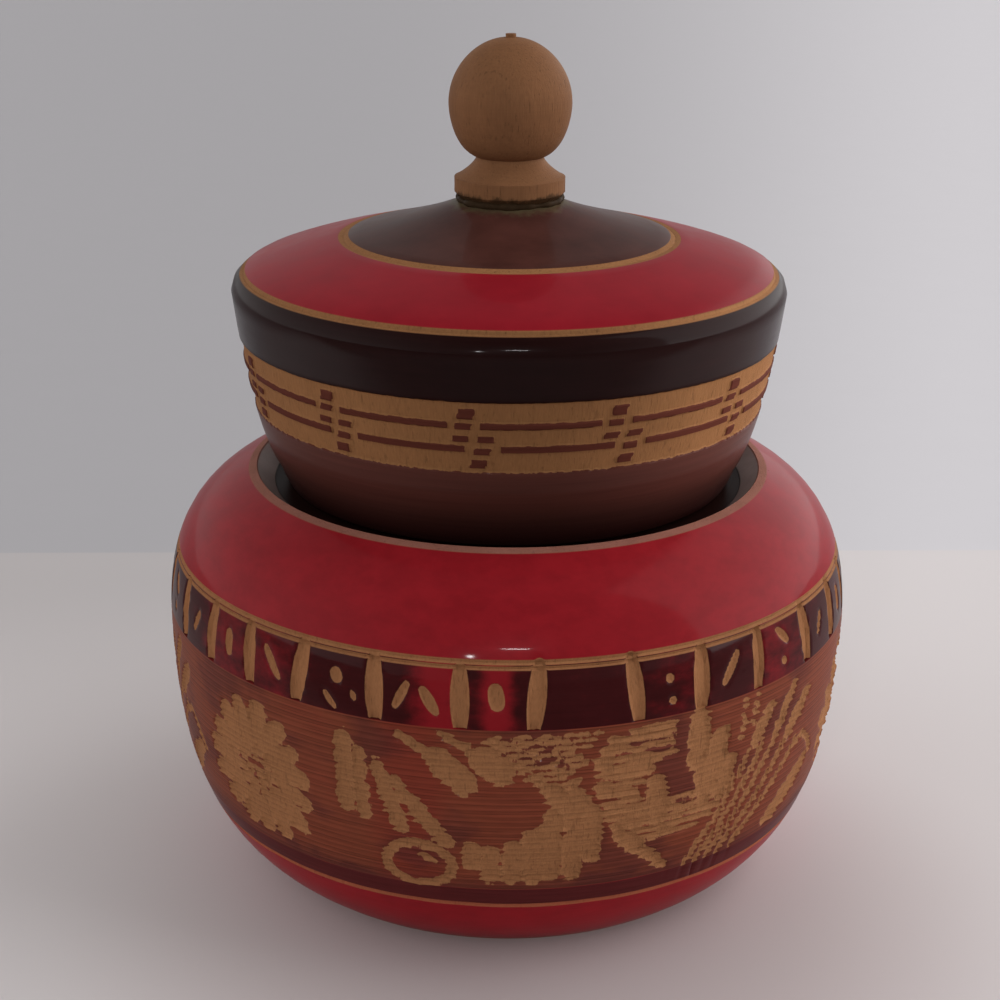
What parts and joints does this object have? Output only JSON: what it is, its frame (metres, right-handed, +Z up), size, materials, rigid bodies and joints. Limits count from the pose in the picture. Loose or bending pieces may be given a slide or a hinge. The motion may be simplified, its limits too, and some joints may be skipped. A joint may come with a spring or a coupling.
{
  "type": "turned wooden box",
  "caption": "Round-bellied turned wooden bowl with a stepped mouth, a drop-in domed lid with a sunk key frieze, and a ball knob for lifting it.",
  "frame": {"origin": "centre of the foot, on the plane it stands on", "axes": "+Z up along the turning axis; -Y is the pictured front and +X is its right"},
  "size_m": [0.125, 0.125, 0.1493],
  "materials": {
    "bowl": "glossy dark red lacquer over bare carved wood",
    "lid": "glossy dark brown lacquer with a red crown ring",
    "knob": "bare turned wood, waxed by handling"
  },
  "bodies": {
    "bowl": {"bowl": "bowl"},
    "lid": {"lid": "lid", "knob": "knob"}
  },
  "joints": [
    {"name": "lid_lift", "type": "slide", "parent": "bowl", "child": "lid", "axis": [0, 0, 1], "range_m": [0, 0.07]}
  ]
}
